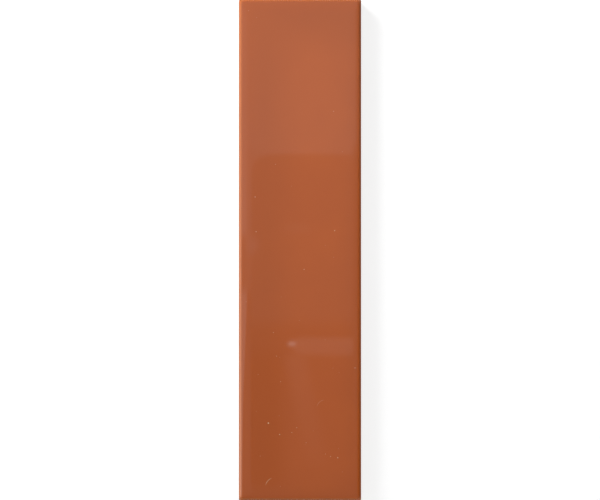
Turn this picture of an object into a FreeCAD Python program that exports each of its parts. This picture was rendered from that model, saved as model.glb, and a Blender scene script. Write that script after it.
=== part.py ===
"""Glazed ceramic wall tile, 60 x 246 mm, pressed and fired as one piece.

Frame: millimetres, +Z up out of the glazed face, +Y along the length, +X across the width.
The origin is the middle of the back, in the plane of the lands that bed on the adhesive.
The tile is written as one solid, parts/wall_tile.step.
"""

import math
import os

import FreeCAD
import Part
from FreeCAD import Vector

# Overall size, over the widest part of the side walls.
WIDTH = 60.0
LENGTH = 246.0
THICKNESS = 8.5

# Glazed face: flat in the middle, falling gently towards all four sides, then a round arris.
CUSHION_WIDTH = 6.0
CUSHION_RADIUS = 60.0
EDGE_RADIUS = 1.5
CORNER_RADIUS = 0.8

# Back: a bevel all round, and a grid of shallow square pockets that key into the adhesive.
BACK_BEVEL = 0.7
POCKET_SIZE = 12.0
POCKET_DEPTH = 0.8
POCKET_SLOPE_DEG = 45.0
POCKET_CORNER_RADIUS = 1.5
POCKET_FLOOR_RADIUS = 0.7
RIB_WIDTH = 3.0
BORDER_MIN = 6.0

NODE = "wall_tile"


def arris_points(half):
    """The section's points from the side wall up to the flat of the face, for a side at +half.

    The arris arc is tangent to the upright side and to the inside of the wide cushion arc.
    """
    cushion_centre = Vector(half - CUSHION_WIDTH, 0, THICKNESS - CUSHION_RADIUS)
    reach = CUSHION_RADIUS - EDGE_RADIUS
    arris_x = half - EDGE_RADIUS
    rise = math.sqrt(reach**2 - (arris_x - cushion_centre.x) ** 2)
    arris_centre = Vector(arris_x, 0, cushion_centre.z + rise)

    join_angle = math.atan2(rise, arris_x - cushion_centre.x)
    join = on_arc(cushion_centre, CUSHION_RADIUS, join_angle)
    return {
        "wall_top": Vector(half, 0, arris_centre.z),
        "arris_mid": on_arc(arris_centre, EDGE_RADIUS, join_angle / 2),
        "join": join,
        "cushion_mid": on_arc(cushion_centre, CUSHION_RADIUS, (join_angle + math.pi / 2) / 2),
        "flat_end": Vector(cushion_centre.x, 0, THICKNESS),
    }


def on_arc(centre, radius, angle):
    """The point of an arc in the XZ plane at an angle from +X."""
    return centre + Vector(radius * math.cos(angle), 0, radius * math.sin(angle))


def mirrored(point):
    """The same point on the other side of the YZ plane."""
    return Vector(-point.x, point.y, point.z)


def section(size):
    """The closed face of the tile's cross-section, in the XZ plane, for a side-to-side size."""
    half = size / 2
    p = arris_points(half)
    back = Vector(half - BACK_BEVEL, 0, 0)
    wall_foot = Vector(half, 0, BACK_BEVEL)

    right = [
        Part.LineSegment(back, wall_foot),
        Part.LineSegment(wall_foot, p["wall_top"]),
        Part.Arc(p["wall_top"], p["arris_mid"], p["join"]),
        Part.Arc(p["join"], p["cushion_mid"], p["flat_end"]),
    ]
    left = [
        Part.Arc(mirrored(p["flat_end"]), mirrored(p["cushion_mid"]), mirrored(p["join"])),
        Part.Arc(mirrored(p["join"]), mirrored(p["arris_mid"]), mirrored(p["wall_top"])),
        Part.LineSegment(mirrored(p["wall_top"]), mirrored(wall_foot)),
        Part.LineSegment(mirrored(wall_foot), mirrored(back)),
    ]
    face_flat = Part.LineSegment(p["flat_end"], mirrored(p["flat_end"]))
    back_flat = Part.LineSegment(mirrored(back), back)
    edges = [curve.toShape() for curve in [*right, face_flat, *left, back_flat]]
    return Part.Face(Part.Wire(edges))


def bar(size, length):
    """A straight bar of the tile's section, centred on the origin, running along Y."""
    profile = section(size)
    profile.translate(Vector(0, -length / 2, 0))
    return profile.extrude(Vector(0, length, 0))


def rounded_rectangle(size_x, size_y, radius, z):
    """A closed wire round a rectangle with rounded corners, centred on the Z axis at height z."""
    half_x = size_x / 2
    half_y = size_y / 2
    arc_mid_inset = radius * (1 - math.cos(math.radians(45)))
    edges = []
    for quarter in range(4):
        turn = math.radians(90 * quarter)
        along, across = (half_x, half_y) if quarter % 2 == 0 else (half_y, half_x)
        corner = [
            Vector(along, across - radius, z),
            Vector(along - arc_mid_inset, across - arc_mid_inset, z),
            Vector(along - radius, across, z),
        ]
        run_end = Vector(-along + radius, across, z)
        start, middle, end, run_end = (rotated(p, turn) for p in [*corner, run_end])
        edges.append(Part.Arc(start, middle, end).toShape())
        edges.append(Part.LineSegment(end, run_end).toShape())
    return Part.Wire(edges)


def rotated(point, turn):
    """A point turned about the Z axis by an angle in radians."""
    c = math.cos(turn)
    s = math.sin(turn)
    return Vector(point.x * c - point.y * s, point.x * s + point.y * c, point.z)


def outline_prism():
    """The plan outline with its small corner radius, as tall as the tile."""
    wire = rounded_rectangle(WIDTH, LENGTH, CORNER_RADIUS, 0)
    return Part.Face(wire).extrude(Vector(0, 0, THICKNESS))


def blank():
    """The tile before the back is keyed: the two sections crossed, cut to the plan outline."""
    along = bar(WIDTH, LENGTH)
    across = bar(LENGTH, WIDTH)
    across.rotate(Vector(0, 0, 0), Vector(0, 0, 1), 90)
    return along.common(across).common(outline_prism())


def pocket():
    """One pocket as a solid, centred on the Z axis, with walls that slope so the punch lets go."""
    draw_in = POCKET_DEPTH / math.tan(math.radians(POCKET_SLOPE_DEG))
    floor_size = POCKET_SIZE - 2 * draw_in
    mouth = rounded_rectangle(POCKET_SIZE, POCKET_SIZE, POCKET_CORNER_RADIUS, 0)
    floor = rounded_rectangle(floor_size, floor_size, POCKET_FLOOR_RADIUS, POCKET_DEPTH)
    return Part.makeLoft([mouth, floor], True, True)


def pocket_places(size):
    """Pocket centres along one direction: as many as leave the border, evenly about the middle."""
    pitch = POCKET_SIZE + RIB_WIDTH
    count = int((size - 2 * BORDER_MIN + RIB_WIDTH) // pitch)
    return [(i - (count - 1) / 2) * pitch for i in range(count)]


def back_key():
    """All the pockets, as one compound of tools that lie clear of each other."""
    tool = pocket()
    tools = []
    for x in pocket_places(WIDTH):
        for y in pocket_places(LENGTH):
            copy = tool.copy()
            copy.translate(Vector(x, y, 0))
            tools.append(copy)
    return Part.makeCompound(tools)


def tile():
    """The fired tile. It is one piece, so more or fewer solids than one is an error."""
    (solid,) = blank().cut(back_key()).Solids
    return solid


def main():
    """Write the tile's STEP file and print its size."""
    os.makedirs("parts", exist_ok=True)
    solid = tile()
    solid.exportStep(os.path.join("parts", NODE + ".step"))
    box = solid.BoundBox
    print(NODE, "valid" if solid.isValid() else "NOT VALID")
    print("size", round(box.XLength, 3), round(box.YLength, 3), round(box.ZLength, 3))
    print("volume", round(solid.Volume, 1), "faces", len(solid.Faces))


main()
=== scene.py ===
import math

import bmesh
import bpy
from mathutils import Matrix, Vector, geometry, noise


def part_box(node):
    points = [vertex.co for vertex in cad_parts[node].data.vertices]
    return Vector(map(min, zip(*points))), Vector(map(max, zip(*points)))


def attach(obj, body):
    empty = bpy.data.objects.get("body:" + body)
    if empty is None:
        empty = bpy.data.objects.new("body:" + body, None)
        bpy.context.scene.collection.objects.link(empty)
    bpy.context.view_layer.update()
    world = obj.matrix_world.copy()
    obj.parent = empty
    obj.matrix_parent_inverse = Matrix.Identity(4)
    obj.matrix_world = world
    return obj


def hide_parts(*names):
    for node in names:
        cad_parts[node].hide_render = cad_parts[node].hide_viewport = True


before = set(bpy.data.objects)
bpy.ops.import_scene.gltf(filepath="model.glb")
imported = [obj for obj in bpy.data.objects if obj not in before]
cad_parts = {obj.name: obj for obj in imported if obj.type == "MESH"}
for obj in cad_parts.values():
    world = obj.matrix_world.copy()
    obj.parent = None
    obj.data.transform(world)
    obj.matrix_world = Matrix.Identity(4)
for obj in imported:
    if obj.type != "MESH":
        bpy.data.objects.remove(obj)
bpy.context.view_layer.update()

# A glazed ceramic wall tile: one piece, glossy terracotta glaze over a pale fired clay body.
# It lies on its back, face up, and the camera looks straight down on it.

MM = 0.001

# The tile's size comes from the frame. Its section repeats the part's own values.
tile_low, tile_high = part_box("wall_tile")
WIDTH = tile_high.x - tile_low.x
LENGTH = tile_high.y - tile_low.y
THICKNESS = tile_high.z - tile_low.z

CUSHION_WIDTH = 6.0 * MM
CUSHION_RADIUS = 60.0 * MM
EDGE_RADIUS = 1.5 * MM
CORNER_RADIUS = 0.8 * MM
BACK_BEVEL = 0.7 * MM
POCKET_SIZE = 12.0 * MM
POCKET_DEPTH = 0.8 * MM
POCKET_CORNER_RADIUS = 1.5 * MM
RIB_WIDTH = 3.0 * MM
BORDER_MIN = 6.0 * MM

# Fired glaze is never dead flat: it rises and falls by a few thousandths of a millimetre.
GLAZE_WAVE = 0.006 * MM
GLAZE_WAVE_WIDTH = 26.0 * MM
GLAZE_WAVE_LENGTH = 44.0 * MM

# The glaze runs over the arris and stops part of the way down the sides, in an uneven thick edge.
GLAZE_LINE = 5.2 * MM
GLAZE_THICKNESS = 0.16 * MM
# The edge's height wanders and ripples by these amounts over these widths. It runs down only where
# the run's noise passes its threshold.
WANDER, WANDER_WIDTH = 0.45 * MM, 11 * MM
RIPPLE, RIPPLE_WIDTH = 0.16 * MM, 3.2 * MM
RUN, RUN_WIDTH = 2.6 * MM, 7 * MM
RUN_THRESHOLD = 0.22

# Small dents that pressing leaves in the clay.
DENT_DEPTH = 0.05 * MM
DENT_WIDTH = 4 * MM

# Mesh spacing along the edges and over the face.
CELL = 1.0 * MM
ARC_CELLS = 3


# ---- outlines -------------------------------------------------------------------------------

def side_points(half_along, half_across, radius, cells, arc_cells):
    """Points of one side, from the middle of one corner's arc to the middle of the next."""
    points = []
    for i in range(arc_cells):
        turn = math.radians(225 + 45 * i / arc_cells)
        points.append((-half_along + radius + radius * math.cos(turn),
                       -half_across + radius + radius * math.sin(turn)))
    straight = cells - 2 * arc_cells
    for i in range(straight + 1):
        points.append((-half_along + radius + 2 * (half_along - radius) * i / straight, -half_across))
    for i in range(1, arc_cells + 1):
        turn = math.radians(270 + 45 * i / arc_cells)
        points.append((half_along - radius + radius * math.cos(turn),
                       -half_across + radius + radius * math.sin(turn)))
    return points


def four_sides(half_x, half_y, radius, cells_x, cells_y, arc_cells):
    """A rounded rectangle as four lists of points: near, right, far and left, anticlockwise."""
    near = side_points(half_x, half_y, radius, cells_x, arc_cells)
    right = side_points(half_y, half_x, radius, cells_y, arc_cells)
    return [
        near,
        [(-y, x) for x, y in right],
        [(-x, -y) for x, y in near],
        [(y, -x) for x, y in right],
    ]


def as_loop(sides):
    return [point for side in sides for point in side[:-1]]


def filled(sides):
    """Rows of points that fill a rounded rectangle, blended between its four sides."""
    near, right, far, left = sides[0], sides[1], sides[2][::-1], sides[3][::-1]
    rows = []
    for j in range(len(right)):
        v = j / (len(right) - 1)
        row = []
        for i in range(len(near)):
            u = i / (len(near) - 1)
            row.append(tuple(
                (1 - v) * near[i][k] + v * far[i][k] + (1 - u) * left[j][k] + u * right[j][k]
                - (1 - u) * (1 - v) * near[0][k] - u * (1 - v) * near[-1][k]
                - (1 - u) * v * far[0][k] - u * v * far[-1][k]
                for k in (0, 1)))
        rows.append(row)
    return rows


CELLS_X = round(WIDTH / CELL)
CELLS_Y = round(LENGTH / CELL)


def tile_sides(inset):
    """The tile's outline at an inset. Its corners open out inwards, as glaze rounds them."""
    radius = CORNER_RADIUS + inset / 2
    return four_sides(WIDTH / 2 - inset, LENGTH / 2 - inset, radius, CELLS_X, CELLS_Y, ARC_CELLS)


# ---- surfaces that aren't quite true --------------------------------------------------------

def glaze_wave(x, y):
    """Height of the glaze's gentle waves, never above the nominal face."""
    broad = noise.noise(Vector((x / GLAZE_WAVE_WIDTH, y / GLAZE_WAVE_LENGTH, 0.3)))
    small = noise.noise(Vector((x / (GLAZE_WAVE_WIDTH / 2), y / (GLAZE_WAVE_LENGTH / 2), 7.1)))
    return GLAZE_WAVE * (0.8 * broad + 0.2 * small - 1)


def glaze_line(x, y):
    """Height at which the glaze stops on the side: it wanders, and runs down in a few places."""
    wander = noise.noise(Vector((x, y, 0)) / WANDER_WIDTH)
    ripple = noise.noise(Vector((x, y, 3 * MM)) / RIPPLE_WIDTH)
    run = max(0.0, noise.noise(Vector((x, y, 9 * MM)) / RUN_WIDTH) - RUN_THRESHOLD)
    return GLAZE_LINE + WANDER * wander + RIPPLE * ripple - RUN * run


def clay_dent(x, y, z):
    """Depth of the dents at a point of the clay, from none to full depth."""
    return (0.5 + 0.5 * noise.noise(Vector((x, y, z)) / DENT_WIDTH)) * DENT_DEPTH


# ---- the tile's mesh ------------------------------------------------------------------------

def cushion_and_arris():
    """(inset, height) pairs from the flat of the face to the top of the upright side."""
    reach = CUSHION_RADIUS - EDGE_RADIUS
    across = CUSHION_WIDTH - EDGE_RADIUS
    rise = math.sqrt(reach**2 - across**2)
    join = math.atan2(rise, across)
    arris_height = THICKNESS - CUSHION_RADIUS + rise
    pairs = []
    cushion_steps = 8
    for i in range(cushion_steps):
        turn = math.pi / 2 + (join - math.pi / 2) * i / cushion_steps
        pairs.append((CUSHION_WIDTH - CUSHION_RADIUS * math.cos(turn),
                      THICKNESS - CUSHION_RADIUS + CUSHION_RADIUS * math.sin(turn)))
    arris_steps = 12
    for i in range(arris_steps + 1):
        turn = join * (1 - i / arris_steps)
        pairs.append((EDGE_RADIUS - EDGE_RADIUS * math.cos(turn),
                      arris_height + EDGE_RADIUS * math.sin(turn)))
    return pairs


class Shell:
    """Collects the tile's points and faces, and which of the two materials each face has."""

    def __init__(self):
        self.mesh = bmesh.new()

    def ring(self, points):
        return [self.mesh.verts.new(p) for p in points]

    def face(self, corners, material):
        made = self.mesh.faces.new(corners)
        made.material_index = material
        made.smooth = True

    def band(self, inner, outer, material):
        for i in range(len(inner)):
            j = (i + 1) % len(inner)
            self.face([inner[i], outer[i], outer[j], inner[j]], material)

    def patch(self, rows, boundary, place, material):
        """Fill a rounded rectangle. Its outer points are the boundary's own, so it closes."""
        last_row = len(rows) - 1
        last_column = len(rows[0]) - 1
        grid = [[None] * (last_column + 1) for _ in rows]
        walk = [(0, i) for i in range(last_column)]
        walk += [(j, last_column) for j in range(last_row)]
        walk += [(last_row, i) for i in range(last_column, 0, -1)]
        walk += [(j, 0) for j in range(last_row, 0, -1)]
        for (j, i), vert in zip(walk, boundary):
            grid[j][i] = vert
        for j, row in enumerate(rows):
            for i, point in enumerate(row):
                if grid[j][i] is None:
                    grid[j][i] = self.mesh.verts.new(place(*point))
        for j in range(last_row):
            for i in range(last_column):
                corners = [grid[j][i], grid[j][i + 1], grid[j + 1][i + 1], grid[j + 1][i]]
                self.face(corners, material)


GLAZE, CLAY = 0, 1


def glazed_face(shell):
    """The flat, the cushion and the arris, down to the upright sides."""
    sides = tile_sides(CUSHION_WIDTH)
    pairs = cushion_and_arris()
    rings = []
    for inset, height in pairs:
        fade = inset / CUSHION_WIDTH
        loop = as_loop(tile_sides(inset))
        rings.append(shell.ring([(x, y, height + fade * glaze_wave(x, y)) for x, y in loop]))
    shell.patch(filled(sides), rings[0], lambda x, y: (x, y, THICKNESS + glaze_wave(x, y)), GLAZE)
    for inner, outer in zip(rings, rings[1:]):
        shell.band(inner, outer, GLAZE)
    return rings[-1], pairs[-1][1]


def glazed_skirt(shell, top, top_height):
    """The glaze on the upright sides, down to its thick uneven lower edge."""
    # Share of the way down to the glaze line, and inset as a share of the glaze's thickness.
    steps = [(0.25, 0.0), (0.5, 0.04), (0.75, 0.02), (0.9, 0.0), (0.97, 0.16), (1.0, 0.55)]
    above = top
    for share, thinning in steps:
        inset = GLAZE_THICKNESS * thinning
        points = []
        for x, y in as_loop(tile_sides(inset)):
            points.append((x, y, top_height + share * (glaze_line(x, y) - top_height)))
        below = shell.ring(points)
        shell.band(above, below, GLAZE)
        above = below
    return above


def bare_sides(shell, top):
    """The unglazed part of the sides, and the bevel round the back."""
    # The glaze's edge turns in to the clay over a small drop.
    drop = 0.05 * MM
    wall = as_loop(tile_sides(GLAZE_THICKNESS))
    above = shell.ring([(x, y, glaze_line(x, y) - drop) for x, y in wall])
    shell.band(top, above, GLAZE)

    # Shares of the way down the wall to where the bevel starts to round.
    bevel_start = BACK_BEVEL * 1.25
    for share in (0.2, 0.4, 0.6, 0.8, 1.0):
        points = []
        for x, y in wall:
            start = glaze_line(x, y) - drop
            height = start + share * (bevel_start - start)
            dent = clay_dent(x, y, height)
            points.append((x * (1 - 2 * dent / WIDTH), y * (1 - 2 * dent / LENGTH), height))
        below = shell.ring(points)
        shell.band(above, below, CLAY)
        above = below

    # The bevel with its edges rounded, as shares of its inset and of its height.
    for inset, height in ((0.10, 0.92), (0.30, 0.70), (0.62, 0.30), (0.80, 0.08), (1.00, 0.0)):
        loop = as_loop(tile_sides(GLAZE_THICKNESS + inset * (BACK_BEVEL - GLAZE_THICKNESS)))
        below = shell.ring([(x, y, height * BACK_BEVEL) for x, y in loop])
        shell.band(above, below, CLAY)
        above = below
    return above


def pocket_places(size):
    """Pocket centres along one direction: as many as leave the border, evenly about the middle."""
    pitch = POCKET_SIZE + RIB_WIDTH
    count = int((size - 2 * BORDER_MIN + RIB_WIDTH) / pitch)
    return [(i - (count - 1) / 2) * pitch for i in range(count)]


def pressed_back(shell, rim):
    """The back: one plane of border and ribs, with a shallow pocket in each square."""
    side_cells, arc_cells = 8, 2
    smallest_radius = 0.4 * MM
    # Inset from the pocket's mouth in millimetres, and share of its depth: rounded lip, slope, floor.
    profile = [(-0.16, 0), (-0.03, 0.0375), (0.10, 0.1625), (0.62, 0.8), (0.74, 0.925), (0.95, 1)]
    flat_points = [Vector((v.co.x, v.co.y)) for v in rim]
    flat_verts = list(rim)
    outside = -1
    pocket_of = [outside] * len(rim)
    edges = [(i, (i + 1) % len(rim)) for i in range(len(rim))]
    centres = [(x, y) for x in pocket_places(WIDTH) for y in pocket_places(LENGTH)]
    for pocket, (cx, cy) in enumerate(centres):
        rings = []
        for inset, share in profile:
            half = POCKET_SIZE / 2 - inset * MM
            radius = max(POCKET_CORNER_RADIUS - inset * MM, smallest_radius)
            sides = four_sides(half, half, radius, side_cells, side_cells, arc_cells)
            points = [(cx + x, cy + y, share * POCKET_DEPTH) for x, y in as_loop(sides)]
            rings.append(shell.ring(points))
        for outer, inner in zip(rings, rings[1:]):
            shell.band(outer, inner, CLAY)
        shell.patch(
            filled(sides), rings[-1],
            lambda x, y: (cx + x, cy + y, POCKET_DEPTH + clay_dent(cx + x, cy + y, 0)), CLAY)
        first = len(flat_verts)
        flat_verts += rings[0]
        flat_points += [Vector((v.co.x, v.co.y)) for v in rings[0]]
        count = len(rings[0])
        pocket_of += [pocket] * count
        edges += [(first + i, first + (i + 1) % count) for i in range(count)]

    # Fill between the outlines. A triangle whose corners are all on one pocket's mouth lies in it.
    all_triangles, merge_distance = 0, 1e-7
    _, _, triangles, origins, _, _ = geometry.delaunay_2d_cdt(
        flat_points, edges, [], all_triangles, merge_distance)
    for triangle in triangles:
        points = [origins[i][0] for i in triangle]
        owners = {pocket_of[i] for i in points}
        if len(owners) > 1 or outside in owners:
            shell.face([flat_verts[i] for i in points], CLAY)


def make_tile():
    """The whole tile as one closed mesh."""
    shell = Shell()
    top, top_height = glazed_face(shell)
    glaze_end = glazed_skirt(shell, top, top_height)
    rim = bare_sides(shell, glaze_end)
    pressed_back(shell, rim)
    bmesh.ops.recalc_face_normals(shell.mesh, faces=shell.mesh.faces)
    data = bpy.data.meshes.new("glazed_wall_tile")
    shell.mesh.to_mesh(data)
    shell.mesh.free()
    data.set_sharp_from_angle(angle=math.radians(50))
    piece = bpy.data.objects.new("glazed_wall_tile", data)
    bpy.context.scene.collection.objects.link(piece)
    return piece


# ---- materials ------------------------------------------------------------------------------

def linear(hex_colour):
    """An sRGB hex colour as linear red, green, blue and alpha."""
    channels = [int(hex_colour[i:i + 2], 16) / 255 for i in (1, 3, 5)]
    return (*[c / 12.92 if c <= 0.04045 else ((c + 0.055) / 1.055) ** 2.4 for c in channels], 1.0)


# Sockets that share a name go by number. These are a Mix node's, when it mixes colours.
MIX_FACTOR, MIX_A, MIX_B, MIX_COLOUR = 0, 6, 7, 2


def add_node(tree, kind, values=None, links=None, **settings):
    """Add a node, set its properties and socket values, and link its sockets."""
    made = tree.nodes.new(kind)
    for name, value in settings.items():
        setattr(made, name, value)
    for socket, value in (values or {}).items():
        made.inputs[socket].default_value = value
    for socket, (source, output) in (links or {}).items():
        tree.links.new(source.outputs[output], made.inputs[socket])
    return made


def new_material(name):
    material = bpy.data.materials.new(name)
    material.use_nodes = True
    material.node_tree.nodes.clear()
    return material, material.node_tree


# Pale specks fired into the glaze, largest first: x, y and radius in millimetres.
SPECKS = [
    (-15.5, -84.8, 0.36), (18.5, -101.8, 0.28), (-10, -90.4, 0.26), (17, 9.5, 0.26), (-22, 26, 0.25),
    (-21.5, 9, 0.25), (2, -9.5, 0.24), (-4, -89.5, 0.22), (15, -101.2, 0.21), (-1.6, -87.1, 0.21),
    (-13, -40.5, 0.20), (-11.5, -52, 0.20), (16.5, 68, 0.20), (-9.5, -64.5, 0.20),
    (12.5, -100, 0.19), (-20.5, -61, 0.18), (3, -94.5, 0.18), (-12, 42, 0.18), (-19.5, -101, 0.17),
]

# Hair scratches, each an arc: its middle and its centre, its length and how much it shows.
SCRATCHES = [
    ((-15.8, -113.2), (-12.1, -116.4), 5.2, 0.42),
    ((9.6, -74.5), (12.1, -77.4), 5.4, 0.16),
    ((27.0, -57.8), (27.0, -61.0), 1.3, 0.40),
]


def faint_specks(tree, place):
    """Fine pale dots of fired dust, mostly in the near half of the tile."""
    spacing = 4.2 * MM
    radius = 0.19 * MM / spacing
    dots = add_node(tree, "ShaderNodeTexVoronoi", {"Scale": 1 / spacing},
                    {"Vector": (place, "Object")})
    axes = add_node(tree, "ShaderNodeSeparateXYZ", links={"Vector": (place, "Object")})
    left_out = add_node(tree, "ShaderNodeMapRange",
                        {"From Min": -90 * MM, "From Max": 30 * MM, "To Min": 0.42, "To Max": 0.90},
                        {"Value": (axes, "Y")})
    chance = add_node(tree, "ShaderNodeSeparateColor", links={"Color": (dots, "Color")})
    chosen = add_node(tree, "ShaderNodeMath", links={0: (chance, "Red"), 1: (left_out, "Result")},
                      operation="GREATER_THAN")
    dot = add_node(tree, "ShaderNodeMapRange",
                   {"From Min": radius, "From Max": radius * 0.5, "To Min": 0, "To Max": 0.30},
                   {"Value": (dots, "Distance")})
    return add_node(tree, "ShaderNodeMath", links={0: (dot, "Result"), 1: (chosen, "Value")},
                    operation="MULTIPLY")


def larger(tree, one, other):
    """The larger of two masks, each given as (node, output)."""
    return add_node(tree, "ShaderNodeMath", links={0: one, 1: other}, operation="MAXIMUM"), "Value"


def flat_place(tree, place):
    """Where a point lies on the face, with its height left out."""
    return add_node(tree, "ShaderNodeVectorMath", {1: (1, 1, 0)}, {0: (place, "Object")},
                    operation="MULTIPLY")


def marks_mask(tree, place):
    """All the pale marks on the glaze, from 0 to 1."""
    flat = flat_place(tree, place)
    mask = (faint_specks(tree, place), "Value")
    # Each speck has a soft rim, and a smaller one shows less.
    for x, y, radius in SPECKS:
        away = add_node(tree, "ShaderNodeVectorMath", {1: (x * MM, y * MM, 0)}, {0: (flat, "Vector")},
                        operation="DISTANCE")
        dot = add_node(tree, "ShaderNodeMapRange",
                       {"From Min": radius * 1.05 * MM, "From Max": radius * 0.45 * MM,
                        "To Min": 0, "To Max": min(1, 3.0 * radius)},
                       {"Value": (away, "Value")})
        mask = larger(tree, mask, (dot, "Result"))
    # Each scratch is a hair line on a circle, fading out towards its two ends.
    for middle, centre, length, strength in SCRATCHES:
        radius = math.dist(middle, centre)
        from_centre = add_node(tree, "ShaderNodeVectorMath", {1: (centre[0] * MM, centre[1] * MM, 0)},
                               {0: (flat, "Vector")}, operation="DISTANCE")
        off = add_node(tree, "ShaderNodeMath", {1: radius * MM}, {0: (from_centre, "Value")},
                       operation="SUBTRACT")
        off_line = add_node(tree, "ShaderNodeMath", links={0: (off, "Value")}, operation="ABSOLUTE")
        line = add_node(tree, "ShaderNodeMapRange",
                        {"From Min": 0.20 * MM, "From Max": 0.05 * MM, "To Min": 0, "To Max": strength},
                        {"Value": (off_line, "Value")})
        along = add_node(tree, "ShaderNodeVectorMath", {1: (middle[0] * MM, middle[1] * MM, 0)},
                         {0: (flat, "Vector")}, operation="DISTANCE")
        ends = add_node(tree, "ShaderNodeMapRange",
                        {"From Min": length / 2 * MM, "From Max": length / 4 * MM},
                        {"Value": (along, "Value")})
        scratch = add_node(tree, "ShaderNodeMath", links={0: (line, "Result"), 1: (ends, "Result")},
                           operation="MULTIPLY")
        mask = larger(tree, mask, (scratch, "Value"))
    return mask


def edge_distance(tree, place, drift, rounding):
    """Distance in from the nearest side, for an outline that has drifted by (x, y, 0).

    The corners are rounded over a width, because glaze has no mitre line.
    """
    moved = add_node(tree, "ShaderNodeVectorMath", {1: drift}, {0: (place, "Object")},
                     operation="SUBTRACT")
    axes = add_node(tree, "ShaderNodeSeparateXYZ", links={"Vector": (moved, "Vector")})
    inward = []
    for axis, size in (("X", WIDTH), ("Y", LENGTH)):
        size_out = add_node(tree, "ShaderNodeMath", links={0: (axes, axis)}, operation="ABSOLUTE")
        inward.append(add_node(tree, "ShaderNodeMath", {0: size / 2}, {1: (size_out, "Value")},
                               operation="SUBTRACT"))
    return add_node(tree, "ShaderNodeMath", {2: rounding},
                    {0: (inward[0], "Value"), 1: (inward[1], "Value")}, operation="SMOOTH_MIN")


def terracotta_glaze():
    """Glossy fired glaze: an even glassy colour, darker inside the edge with painted shade and thicker
    glaze, paler over the arris with a painted highlight and thinner glaze, and pale specks of fired dust."""
    material, tree = new_material("terracotta gloss glaze")
    place = add_node(tree, "ShaderNodeTexCoord")
    # Slow cloudy patches of two nearly equal colours.
    cloud = add_node(tree, "ShaderNodeTexNoise", {"Scale": 1 / (24 * MM), "Detail": 2.0},
                     {"Vector": (place, "Object")})
    clouding = add_node(tree, "ShaderNodeMapRange",
                        {"From Min": 0.35, "From Max": 0.65, "To Min": 0, "To Max": 1},
                        {"Value": (cloud, "Fac")})
    body = add_node(tree, "ShaderNodeMix", {MIX_A: linear("#B1541C"), MIX_B: linear("#AE521C")},
                    {MIX_FACTOR: (clouding, "Result")}, data_type="RGBA")

    # A darker band inside the edge: painted shade, as well as thicker glaze.
    # It is wider at the left than the right, and at the far end than the near.
    shade_band_distance = edge_distance(tree, place, (10 * MM, -7 * MM, 0), 24 * MM)
    thick = add_node(tree, "ShaderNodeMapRange",
                     {"From Min": 26 * MM, "From Max": 0, "To Min": 0, "To Max": 0.52},
                     {"Value": (shade_band_distance, "Value")}, interpolation_type="SMOOTHSTEP")
    with_shade = add_node(tree, "ShaderNodeMix", {MIX_B: linear("#9C4816")},
                      {MIX_FACTOR: (thick, "Result"), MIX_A: (body, MIX_COLOUR)}, data_type="RGBA")
    # A paler band over the arris: a painted highlight, as well as glaze drawn thin.
    # It is widest at the left and the near end.
    inward = edge_distance(tree, place, (0.5 * MM, 0.3 * MM, 0), EDGE_RADIUS)
    thin_glaze_highlight = add_node(tree, "ShaderNodeMapRange",
                    {"From Min": EDGE_RADIUS, "From Max": 0.2 * MM, "To Min": 0, "To Max": 0.32},
                    {"Value": (inward, "Value")}, interpolation_type="SMOOTHSTEP")
    with_highlight = add_node(tree, "ShaderNodeMix", {MIX_B: linear("#D8854A")},
                     {MIX_FACTOR: (thin_glaze_highlight, "Result"), MIX_A: (with_shade, MIX_COLOUR)}, data_type="RGBA")

    marks, marks_output = marks_mask(tree, place)
    colour = add_node(tree, "ShaderNodeMix", {MIX_B: linear("#E2C79E")},
                      {MIX_FACTOR: (marks, marks_output), MIX_A: (with_highlight, MIX_COLOUR)}, data_type="RGBA")
    # Fired gloss, very slightly duller in patches.
    smear = add_node(tree, "ShaderNodeTexNoise", {"Scale": 1 / (9 * MM), "Detail": 3.0},
                     {"Vector": (place, "Object")})
    roughness = add_node(tree, "ShaderNodeMapRange",
                         {"From Min": 0.3, "From Max": 0.7, "To Min": 0.022, "To Max": 0.034},
                         {"Value": (smear, "Fac")})
    shader = add_node(tree, "ShaderNodeBsdfPrincipled", {"Metallic": 0.0, "IOR": 1.5},
                      {"Base Color": (colour, MIX_COLOUR), "Roughness": (roughness, "Result")})
    add_node(tree, "ShaderNodeOutputMaterial", links={"Surface": (shader, "BSDF")})
    return material


def fired_clay():
    """Unglazed pressed clay: pale buff, dry and matt, with a fine sandy grain."""
    material, tree = new_material("pale fired clay")
    place = add_node(tree, "ShaderNodeTexCoord")
    blush = add_node(tree, "ShaderNodeTexNoise", {"Scale": 1 / (16 * MM), "Detail": 3.0},
                     {"Vector": (place, "Object")})
    # Real grains are about 0.1 mm. They are drawn at 0.4 mm so that they show.
    grain = add_node(tree, "ShaderNodeTexNoise", {"Scale": 1 / (0.4 * MM), "Detail": 2.0},
                     {"Vector": (place, "Object")})
    body = add_node(tree, "ShaderNodeMix", {MIX_A: linear("#DCD0BB"), MIX_B: linear("#CFC0A7")},
                    {MIX_FACTOR: (blush, "Fac")}, data_type="RGBA")
    speckle = add_node(tree, "ShaderNodeMapRange",
                       {"From Min": 0.58, "From Max": 0.75, "To Min": 0, "To Max": 0.45},
                       {"Value": (grain, "Fac")})
    colour = add_node(tree, "ShaderNodeMix", {MIX_B: linear("#B09A7C")},
                      {MIX_FACTOR: (speckle, "Result"), MIX_A: (body, MIX_COLOUR)}, data_type="RGBA")
    bump = add_node(tree, "ShaderNodeBump", {"Strength": 0.5, "Distance": 0.05 * MM},
                    {"Height": (grain, "Fac")})
    shader = add_node(tree, "ShaderNodeBsdfPrincipled",
                      {"Metallic": 0.0, "IOR": 1.5, "Roughness": 0.9},
                      {"Base Color": (colour, MIX_COLOUR), "Normal": (bump, "Normal")})
    add_node(tree, "ShaderNodeOutputMaterial", links={"Surface": (shader, "BSDF")})
    return material


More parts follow.
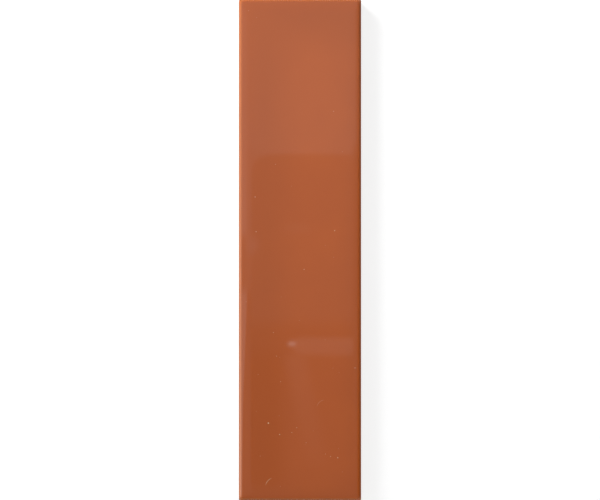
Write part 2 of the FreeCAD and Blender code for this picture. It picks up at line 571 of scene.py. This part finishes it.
tile = make_tile()
tile.data.materials.append(terracotta_glaze())
tile.data.materials.append(fired_clay())
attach(tile, "root")
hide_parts("wall_tile")


# ---- camera ---------------------------------------------------------------------------------

# Straight down over the middle. The tile's length just overfills the picture's height, so that no
# sliver of floor shows past its ends.
CAMERA_ABOVE = 1.0
OVERFILL = 1.002
PICTURE_WIDTH, PICTURE_HEIGHT = 600, 500
SENSOR_WIDTH = 36.0

# The outline is widest at the foot of the arris.
widest_height = cushion_and_arris()[-1][1]
camera_data = bpy.data.cameras.new("camera")
camera_data.sensor_width = SENSOR_WIDTH
picture_height_on_sensor = SENSOR_WIDTH * PICTURE_HEIGHT / PICTURE_WIDTH
distance = THICKNESS + CAMERA_ABOVE - widest_height
camera_data.lens = OVERFILL * picture_height_on_sensor * distance / LENGTH
camera = bpy.data.objects.new("camera", camera_data)
camera.location = (0, 0, THICKNESS + CAMERA_ABOVE)
bpy.context.scene.collection.objects.link(camera)
bpy.context.scene.camera = camera


# ---- floor, world and studio ----------------------------------------------------------------

def seen_ray(tree):
    """1 for rays that show the background: straight from the camera, mirrored or refracted."""
    path = add_node(tree, "ShaderNodeLightPath")
    mirrored = add_node(tree, "ShaderNodeMath", operation="MAXIMUM",
                        links={0: (path, "Is Camera Ray"), 1: (path, "Is Glossy Ray")})
    return add_node(tree, "ShaderNodeMath", operation="MAXIMUM",
                    links={0: (mirrored, "Value"), 1: (path, "Is Transmission Ray")})


def stage_card(name, points, faces, cover):
    """A piece of the stage. Its cover attribute is how much it shows at each point, from 0 to 1."""
    data = bpy.data.meshes.new(name)
    data.from_pydata(points, [], faces)
    data.attributes.new("cover", "FLOAT", "POINT").data.foreach_set("value", cover)
    card = bpy.data.objects.new(name, data)
    bpy.context.scene.collection.objects.link(card)
    return card


def make_floor():
    """A white sweep. Its glow, seen and mirrored, keeps it white, and its matt part takes a shadow."""
    reach = 8.0
    glow_level, matt_level = 0.75, 0.35
    corners = [(-reach, -reach, 0), (reach, -reach, 0), (reach, reach, 0), (-reach, reach, 0)]
    floor = stage_card("floor", corners, [(0, 1, 2, 3)], [1.0] * len(corners))
    material, tree = new_material("white sweep")
    seen = seen_ray(tree)
    strength = add_node(tree, "ShaderNodeMath", {1: glow_level}, {0: (seen, "Value")},
                        operation="MULTIPLY")
    glow = add_node(tree, "ShaderNodeEmission", {"Color": (1, 1, 1, 1)}, {"Strength": (strength, "Value")})
    matt = add_node(tree, "ShaderNodeBsdfDiffuse", {"Color": (matt_level, matt_level, matt_level, 1)})
    both = add_node(tree, "ShaderNodeAddShader", links={0: (glow, "Emission"), 1: (matt, "BSDF")})
    add_node(tree, "ShaderNodeOutputMaterial", links={"Surface": (both, "Shader")})
    floor.data.materials.append(material)


def make_world():
    """White to the eye and in mirrors. Its soft light is strongest from the far left."""
    brightest_way = (-0.80, 0.45, 0.40)
    weakest, strongest = 0.30, 0.54
    world = bpy.data.worlds.new("studio")
    bpy.context.scene.world = world
    world.use_nodes = True
    tree = world.node_tree
    tree.nodes.clear()
    way = add_node(tree, "ShaderNodeTexCoord")
    lean = add_node(tree, "ShaderNodeVectorMath", {1: brightest_way}, {0: (way, "Generated")},
                    operation="DOT_PRODUCT")
    soft = add_node(tree, "ShaderNodeMapRange",
                    {"From Min": -1, "From Max": 1, "To Min": weakest, "To Max": strongest},
                    {"Value": (lean, "Value")})
    light = add_node(tree, "ShaderNodeBackground", {"Color": (1, 1, 1, 1)},
                     {"Strength": (soft, "Result")})
    white = add_node(tree, "ShaderNodeBackground", {"Color": (1, 1, 1, 1), "Strength": 1.0})
    seen = seen_ray(tree)
    either = add_node(tree, "ShaderNodeMixShader",
                      links={0: (seen, "Value"), 1: (light, "Background"), 2: (white, "Background")})
    add_node(tree, "ShaderNodeOutputWorld", links={"Surface": (either, "Shader")})


def mirror_only(card, near_glow, far_glow, near, far):
    """Show a card only in glossy reflections, with a glow that runs from its near to its far end.

    Where its cover attribute is 0 it is clear, and where it is 1 it is solid.
    """
    card.visible_camera = False
    card.visible_diffuse = False
    card.visible_shadow = False
    card.visible_transmission = False
    card.visible_volume_scatter = False
    material, tree = new_material(card.name)
    place = add_node(tree, "ShaderNodeTexCoord")
    axes = add_node(tree, "ShaderNodeSeparateXYZ", links={"Vector": (place, "Object")})
    run = add_node(tree, "ShaderNodeMapRange",
                   {"From Min": near, "From Max": far, "To Min": near_glow, "To Max": far_glow},
                   {"Value": (axes, "Y")})
    glow = add_node(tree, "ShaderNodeEmission", {"Color": (1, 1, 1, 1)}, {"Strength": (run, "Result")})
    clear = add_node(tree, "ShaderNodeBsdfTransparent")
    cover = add_node(tree, "ShaderNodeAttribute", attribute_name="cover")
    both = add_node(tree, "ShaderNodeMixShader",
                    links={0: (cover, "Fac"), 1: (clear, "BSDF"), 2: (glow, "Emission")})
    add_node(tree, "ShaderNodeOutputMaterial", links={"Surface": (both, "Shader")})
    card.data.materials.append(material)


def soft_card(name, low, high, height, corner, feather, slant):
    """A level card with rounded corners and a soft rim. slant shifts x for each unit of y."""
    middle_x = (low[0] + high[0]) / 2
    middle_y = (low[1] + high[1]) / 2
    arc_cells, side_cells = 5, 11
    points = []
    for grown in (0, feather):
        half_x = (high[0] - low[0]) / 2 + grown
        half_y = (high[1] - low[1]) / 2 + grown
        sides = four_sides(half_x, half_y, corner + grown, side_cells, side_cells, arc_cells)
        for x, y in as_loop(sides):
            points.append((middle_x + x + slant * y, middle_y + y, height))
    count = len(points) // 2
    faces = [tuple(range(count))]
    faces += [(i, count + i, count + (i + 1) % count, (i + 1) % count) for i in range(count)]
    return stage_card(name, points, faces, [1.0] * count + [0.0] * count)


def make_overhead_cards():
    """What the glaze mirrors from above: a bright far bank, a window at the left and a dim flag.

    They hang level with the camera, so a point of the face mirrors the point twice as far out.
    Each card is a little lower than the last, so that it covers it. Sizes are in millimetres:
    the low and high corners, the glow at the near and far ends, corner radius, soft rim, slant.
    """
    cards = [
        ("ceiling", (-900, -900), (900, 900), 0.30, 0.30, 5, 5, 0),
        ("far_bank", (-900, 60), (900, 900), 1.20, 1.10, 5, 5, 0),
        ("far_bank_right", (240, 60), (900, 900), 0.45, 0.45, 5, 110, 0),
        ("window_inner", (-200, 8), (-40, 96), 1.00, 1.10, 5, 6, 0),
        ("window_outer", (-420, 8), (-140, 900), 1.45, 1.35, 5, 25, 0),
        ("window_gap", (-420, -45), (-40, 10), 0.82, 0.90, 5, 8, 0),
        ("window_sill", (-420, -330), (-40, -45), 0.62, 0.66, 5, 8, 0),
        ("window_near", (-500, -330), (-214, -45), 1.55, 1.45, 5, 10, 0.65),
        ("window_wide", (-900, -330), (-440, 330), 2.80, 1.25, 5, 60, 0),
        ("flag", (-49, -330), (120, 92), 0.58, 0.80, 20, 3, 0),
        ("flag_near", (-49, -400), (120, -80), 0.52, 0.54, 5, 16, 0),
        ("flag_left", (-49, -225), (-24, -108), 0.42, 0.44, 5, 16, 0),
        ("flag_right", (125, -330), (190, 94), 0.48, 0.66, 5, 14, 0),
        ("flag_far_right", (215, -330), (900, 94), 0.10, 0.26, 5, 20, 0),
        ("notch", (-120, 0), (-44, 9), 1.10, 1.10, 3, 6, 0),
        ("small_bar", (-14, 20), (8, 23), 0.90, 0.90, 1, 4, 0),
        ("bar", (-4, -100), (116, -88), 0.90, 0.95, 5, 5, 0),
        ("bar_hot_spot", (-10, -92.5), (-5, -90.5), 2.8, 2.8, 0.8, 2, 0),
        ("streak", (1, -205), (11, -106), 0.60, 0.72, 4, 9, -0.20),
    ]
    step = 0.5 * MM
    for i, (name, low, high, near_glow, far_glow, corner, feather, slant) in enumerate(cards):
        height = THICKNESS + CAMERA_ABOVE - i * step
        low = (low[0] * MM, low[1] * MM)
        high = (high[0] * MM, high[1] * MM)
        card = soft_card(name, low, high, height, corner * MM, feather * MM, slant)
        mirror_only(card, near_glow, far_glow, low[1], high[1])


def make_side_panels():
    """Upright panels that the long arrises mirror: a bright window at the left, dark at the right.

    Each is as long as those mirrored rays spread, and starts above the floor, so that the flat of
    the face doesn't mirror it in a low view.
    """
    away, reach, foot, head = 0.90, 0.30, 0.10, 1.00
    panels = [("panel_left", -away, 3.6, 1.2), ("panel_right", away, 0.05, 0.35)]
    for name, x, near_glow, far_glow in panels:
        corners = [(x, -reach, foot), (x, reach, foot), (x, reach, head), (x, -reach, head)]
        panel = stage_card(name, corners, [(0, 1, 2, 3)], [1.0] * len(corners))
        mirror_only(panel, near_glow, far_glow, -reach, reach)


def make_floor_mats():
    """Level strips just over the floor, which the outer half of the arris mirrors all round."""
    gap, reach, height = 0.6 * MM, 240 * MM, 0.2 * MM
    x, y = WIDTH / 2 + gap, LENGTH / 2 + gap
    mats = [
        ("mat_left", (-x - reach, -y), (-x, y), 0.30),
        ("mat_right", (x, -y), (x + reach, y), 0.02),
        ("mat_far", (-x - reach, y), (x + reach, y + reach), 0.12),
        ("mat_near", (-x - reach, -y - reach), (x + reach, -y), 0.06),
    ]
    for name, low, high, glow in mats:
        card = soft_card(name, low, high, height, gap, 0, 0)
        mirror_only(card, glow, glow, low[1], high[1])


def add_lamp(name, place, target, size, power):
    """A square soft lamp aimed at a point. The glaze mirrors the cards, not the lamps."""
    data = bpy.data.lights.new(name, "AREA")
    data.size = size
    data.energy = power
    lamp = bpy.data.objects.new(name, data)
    lamp.location = place
    lamp.rotation_euler = (Vector(target) - Vector(place)).to_track_quat("-Z", "Y").to_euler()
    lamp.visible_glossy = False
    bpy.context.scene.collection.objects.link(lamp)


make_floor()
make_world()
make_overhead_cards()
make_side_panels()
make_floor_mats()
add_lamp("softbox_left", (-0.62, 0.62, 0.40), (0, 0.02, 0), 0.35, 11.1)
add_lamp("fill_right", (0.90, -0.55, 0.12), (0, 0, 0), 0.5, 2.2)

bpy.context.scene.view_settings.view_transform = "Standard"
